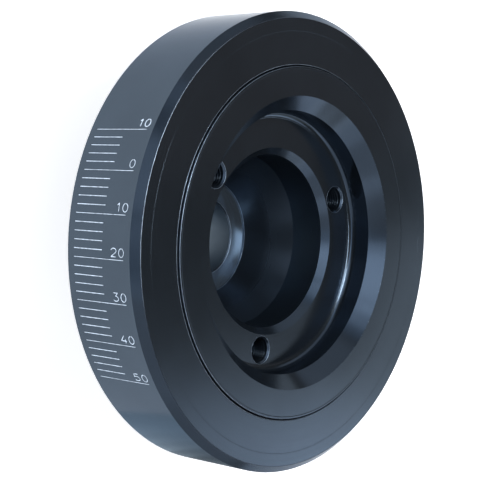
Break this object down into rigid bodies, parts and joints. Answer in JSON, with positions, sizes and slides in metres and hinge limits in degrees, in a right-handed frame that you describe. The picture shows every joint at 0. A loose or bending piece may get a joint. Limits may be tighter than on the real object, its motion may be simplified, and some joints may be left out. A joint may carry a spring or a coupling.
{
  "type": "harmonic balancer",
  "caption": "Round crankshaft damper with a wide rim and engraved degree scale, a bevelled pulley recess, a deep hub cavity and a keyed crank bore.",
  "frame": {"origin": "centre of the hub's end face, which seats against the timing gear", "axes": "+Z along the crankshaft axis towards the front of the engine; +Y through the keyway"},
  "size_m": [0.1841, 0.1842, 0.0908],
  "materials": {
    "black_steel": "satin black oxide over turned steel",
    "bare_steel": "turned, oiled",
    "bronze": "plain bearing bronze",
    "plug_steel": "black oxide"
  },
  "bodies": {
    "body": {"housing": "black_steel", "cover_plate": "black_steel", "fill_plug_1": "plug_steel", "fill_plug_2": "plug_steel"},
    "inertia": {"inertia_ring": "bare_steel", "bearing_sleeve": "bronze"}
  },
  "joints": [
    {"name": "inertia_spin", "type": "hinge", "parent": "body", "child": "inertia", "pos_m": [0, 0, 0.07275], "axis": [0, 0, 1], "continuous": true}
  ]
}
